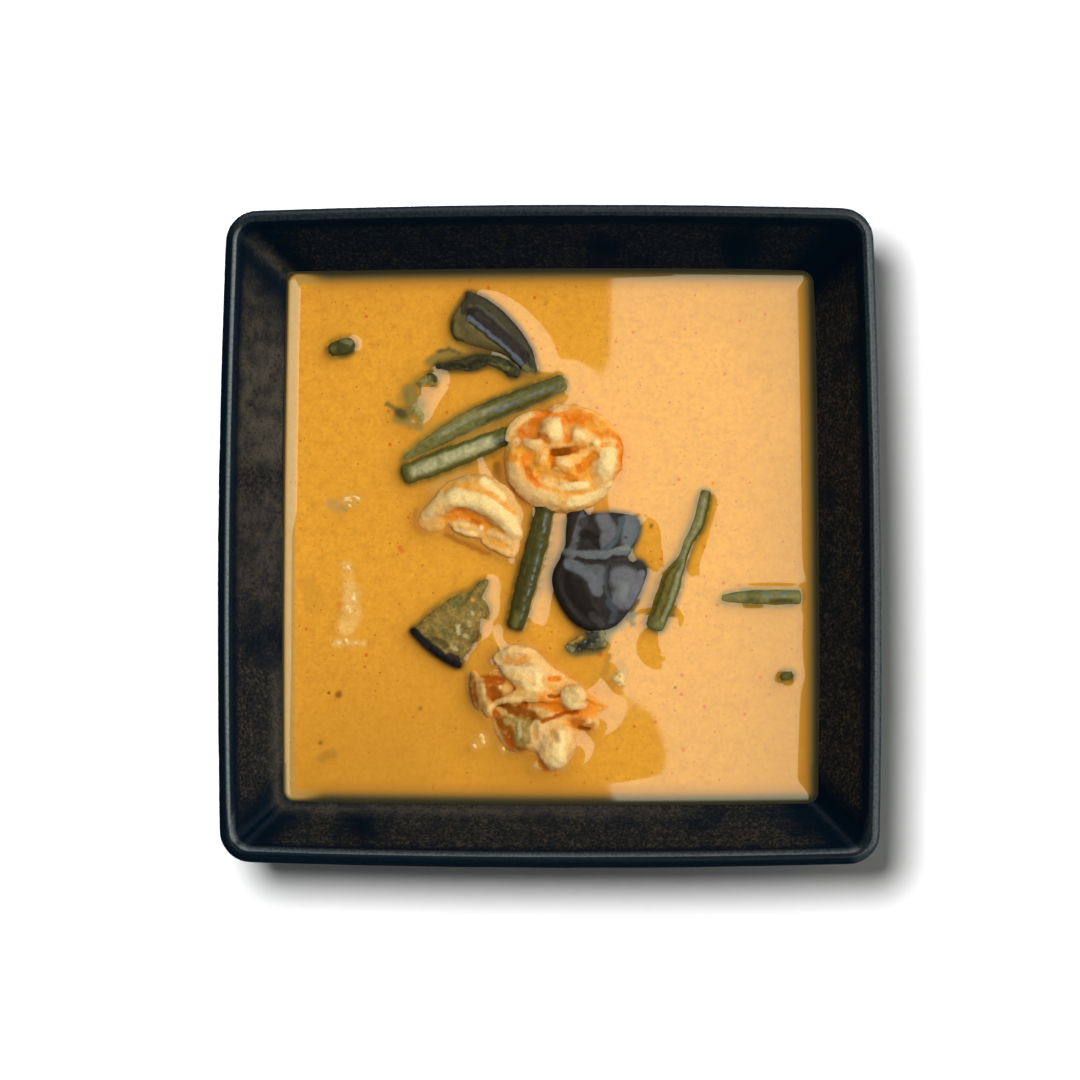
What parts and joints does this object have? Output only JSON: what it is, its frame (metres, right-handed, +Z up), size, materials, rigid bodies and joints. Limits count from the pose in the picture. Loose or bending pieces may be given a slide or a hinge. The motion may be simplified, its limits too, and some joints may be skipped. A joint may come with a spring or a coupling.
{
  "type": "red shrimp curry in a square bowl",
  "caption": "Square flared stoneware bowl of orange coconut curry with curled and torn shrimps, green beans, eggplant pieces and basil in its surface.",
  "frame": {"origin": "centre of the bowl's foot, on the surface it stands on", "axes": "+Z up; +X is the right and +Y the top of the picture, along the bowl's sides"},
  "size_m": [0.2022, 0.202, 0.052],
  "materials": {
    "navy_glaze": "near-black navy glaze with brown mottling on the inner walls, glossy rim",
    "curry": "opaque orange coconut curry with a smooth, wet surface",
    "shrimp": "cooked shrimp flesh, cream with orange markings, wet",
    "green_bean": "dark cooked green bean, wet, with pale stripes",
    "eggplant_skin": "black-purple eggplant skin, wet",
    "eggplant_flesh": "greenish brown cooked eggplant flesh",
    "thai_basil": "dark wilted basil leaf",
    "pale_greens": "pale translucent vegetable, mostly sunk"
  },
  "bodies": {
    "root": {"bowl": "navy_glaze", "curry": "curry", "curled_shrimp": "shrimp", "arched_shrimp": "shrimp", "torn_shrimp": "shrimp", "green_bean_1": "green_bean", "green_bean_2": "green_bean", "green_bean_3": "green_bean", "green_bean_4": "green_bean", "green_bean_5": "green_bean", "green_bean_end": "green_bean", "green_bit": "green_bean", "folded_eggplant": "eggplant_skin", "eggplant_piece": "eggplant_skin", "eggplant_wedge": "eggplant_flesh", "basil_strip": "thai_basil", "basil_scrap": "thai_basil", "stem_ring": "pale_greens", "pale_vegetable": "pale_greens", "pale_lump": "pale_greens"}
  },
  "joints": []
}
